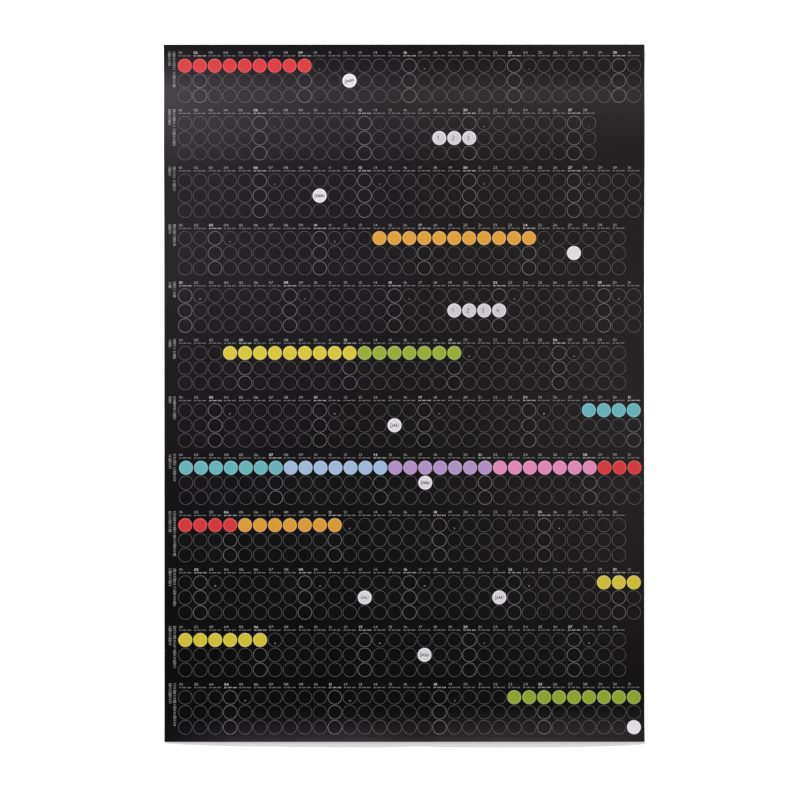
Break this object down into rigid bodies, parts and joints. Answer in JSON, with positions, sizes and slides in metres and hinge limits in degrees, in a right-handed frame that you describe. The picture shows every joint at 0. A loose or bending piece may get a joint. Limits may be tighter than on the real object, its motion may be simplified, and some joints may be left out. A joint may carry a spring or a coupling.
{
  "type": "year planner",
  "caption": "Large wall year planner: a black film-laminated paper sheet with a circle for every day of twelve months, marked with round coloured stickers.",
  "frame": {"origin": "centre of the sheet's outline seen from above, at the level of the back face that it lies on", "axes": "+X along a month from the 1st to the 31st, +Y towards January at the head of the sheet, +Z out of the printed face"},
  "size_m": [0.62, 0.8992, 0.007],
  "materials": {
    "black_laminated_paper": "satin film over black print",
    "red_sticker_paper": "satin coated paper",
    "orange_sticker_paper": "satin coated paper",
    "yellow_sticker_paper": "satin coated paper",
    "green_sticker_paper": "satin coated paper",
    "teal_sticker_paper": "satin coated paper",
    "blue_sticker_paper": "satin coated paper",
    "purple_sticker_paper": "satin coated paper",
    "pink_sticker_paper": "satin coated paper",
    "white_sticker_paper": "matt writable paper"
  },
  "bodies": {
    "root": {"planner_sheet": "black_laminated_paper", "january_red_dots": "red_sticker_paper", "april_orange_dots": "orange_sticker_paper", "june_yellow_dots": "yellow_sticker_paper", "june_green_dots": "green_sticker_paper", "july_teal_dots": "teal_sticker_paper", "august_teal_dots": "teal_sticker_paper", "august_blue_dots": "blue_sticker_paper", "august_purple_dots": "purple_sticker_paper", "august_pink_dots": "pink_sticker_paper", "august_red_dots": "red_sticker_paper", "september_red_dots": "red_sticker_paper", "september_orange_dots": "orange_sticker_paper", "october_yellow_dots": "yellow_sticker_paper", "november_yellow_dots": "yellow_sticker_paper", "december_green_dots": "green_sticker_paper", "january_12_white_dot": "white_sticker_paper", "february_18_white_dot": "white_sticker_paper", "february_19_white_dot": "white_sticker_paper", "february_20_white_dot": "white_sticker_paper", "march_10_white_dot": "white_sticker_paper", "april_27_white_dot": "white_sticker_paper", "may_19_white_dot": "white_sticker_paper", "may_20_white_dot": "white_sticker_paper", "may_21_white_dot": "white_sticker_paper", "may_22_white_dot": "white_sticker_paper", "july_15_white_dot": "white_sticker_paper", "august_17_white_dot": "white_sticker_paper", "october_13_white_dot": "white_sticker_paper", "october_22_white_dot": "white_sticker_paper", "november_17_white_dot": "white_sticker_paper"}
  },
  "joints": []
}
